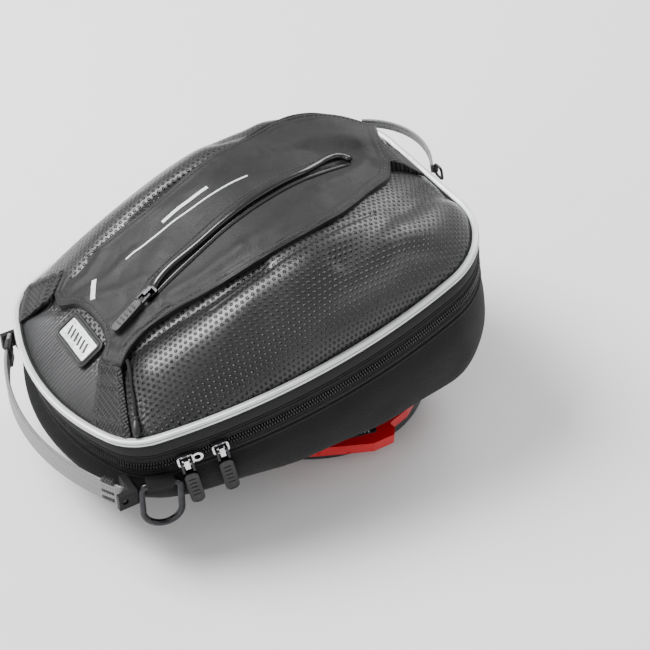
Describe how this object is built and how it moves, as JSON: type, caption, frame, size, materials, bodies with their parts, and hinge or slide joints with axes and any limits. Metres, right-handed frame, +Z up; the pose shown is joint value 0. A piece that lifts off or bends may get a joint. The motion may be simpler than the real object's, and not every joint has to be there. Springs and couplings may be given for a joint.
{
  "type": "motorcycle tank bag",
  "caption": "Domed zipped tank bag with a moulded lid, pocket panel, carry strap and a quick-release tank ring underneath.",
  "frame": {"origin": "centre of the tank ring's lower face, on the spigot's axis", "axes": "+X to the bag's wide end, +Y left, +Z up, away from the tank"},
  "size_m": [0.2973, 0.204, 0.162],
  "materials": {
    "moulded_shell": "semi-gloss moulded foam shell with a fine hexagonal relief",
    "panel_fabric": "mid grey coated woven fabric, satin",
    "body_fabric": "near black coarse woven fabric, matte",
    "webbing": "black ribbed webbing, matte",
    "handle_webbing": "light grey ribbed webbing",
    "piping": "silver reflective piping",
    "zip_tape": "black zip tape with nylon coil",
    "lining": "grey knitted lining",
    "black_plastic": "fine grained moulded black plastic",
    "grey_plastic": "fine grained moulded dark grey plastic",
    "red_plastic": "glossy red moulded plastic",
    "steel": "plated steel",
    "gunmetal": "dark plated zinc casting",
    "rubber": "soft moulded rubber",
    "badge_metal": "brushed aluminium"
  },
  "bodies": {
    "bag": {"body_shell": "body_fabric", "base_board": "grey_plastic", "zip_lower": "zip_tape", "hinge_strip": "body_fabric", "flange_plate": "black_plastic", "outer_ring": "grey_plastic", "spigot_ring": "grey_plastic", "centre_cap": "grey_plastic", "flange_screws": "steel", "flange_nuts": "steel", "ring_tab_near": "webbing", "ring_tab_far": "webbing", "handle_anchor_near": "webbing", "handle_anchor_far": "webbing"},
    "lid": {"lid_shell": "moulded_shell", "lid_lining": "lining", "lid_piping": "piping", "lid_band": "body_fabric", "zip_upper": "zip_tape", "pocket_panel": "panel_fabric", "strap_front_near": "webbing", "strap_front_far": "webbing", "strap_rear": "webbing", "badge_frame": "rubber", "badge_plate": "badge_metal", "pull_cord": "webbing", "cord_tip": "rubber", "rear_strap": "handle_webbing", "rear_ring": "gunmetal"},
    "release_lever": {"release_lever": "red_plastic"},
    "slider_front": {"zip_slider_front": "steel"},
    "pull_front": {"zip_pull_front": "gunmetal"},
    "slider_rear": {"zip_slider_rear": "steel"},
    "pull_rear": {"zip_pull_rear": "gunmetal"},
    "pocket_slider": {"pocket_slider": "gunmetal"},
    "pocket_pull": {"pocket_pull": "rubber"},
    "d_ring_near": {"d_ring_near": "gunmetal"},
    "d_ring_far": {"d_ring_far": "gunmetal"},
    "front_handle": {"front_handle": "handle_webbing"}
  },
  "joints": [
    {"name": "lid_hinge", "type": "hinge", "parent": "bag", "child": "lid", "pos_m": [0.09211, 0, 0.11233], "axis": [0, 1, 0], "range_deg": [0, 100]},
    {"name": "release_turn", "type": "hinge", "parent": "bag", "child": "release_lever", "pos_m": [0, 0, 0.0124], "axis": [0, 0, 1], "range_deg": [0, 8], "stiffness_Nm_per_rad": 0.6},
    {"name": "slider_rear_run", "type": "hinge", "parent": "bag", "child": "slider_rear", "pos_m": [-0.03182, 0.30316, 0.08869], "axis": [-0.1874, 0, 0.9823], "range_deg": [0, 22.5]},
    {"name": "slider_front_run", "type": "hinge", "parent": "bag", "child": "slider_front", "pos_m": [-0.03182, 0.30316, 0.08869], "axis": [-0.1874, 0, 0.9823], "range_deg": [0, 0.6]},
    {"name": "pull_rear_swing", "type": "hinge", "parent": "slider_rear", "child": "pull_rear", "pos_m": [-0.11504, -0.09543, 0.07282], "axis": [-0.9608, 0.2079, -0.1833], "range_deg": [0, 80]},
    {"name": "pull_front_swing", "type": "hinge", "parent": "slider_front", "child": "pull_front", "pos_m": [-0.13542, -0.09045, 0.06893], "axis": [-0.9488, 0.2588, -0.181], "range_deg": [0, 80]},
    {"name": "pocket_slider_run", "type": "hinge", "parent": "lid", "child": "pocket_slider", "pos_m": [-0.00173, -0.00324, -0.03604], "axis": [-0.1152, 0.9931, -0.022], "range_deg": [0, 42]},
    {"name": "pocket_pull_swing", "type": "hinge", "parent": "pocket_slider", "child": "pocket_pull", "pos_m": [-0.11595, -0.01269, 0.13209], "axis": [-0.1113, 0.993, -0.039], "range_deg": [0, 100]},
    {"name": "d_ring_near_swing", "type": "hinge", "parent": "bag", "child": "d_ring_near", "pos_m": [-0.15135, -0.08719, 0.058], "axis": [-0.9588, 0.284, 0], "range_deg": [0, 85]},
    {"name": "d_ring_far_swing", "type": "hinge", "parent": "bag", "child": "d_ring_far", "pos_m": [-0.15135, 0.08719, 0.058], "axis": [0.9588, 0.284, 0], "range_deg": [0, 85]},
    {"name": "front_handle_swing", "type": "hinge", "parent": "bag", "child": "front_handle", "pos_m": [-0.1725, 0, 0.0515], "axis": [0, 1, 0], "range_deg": [-20, 10]}
  ]
}
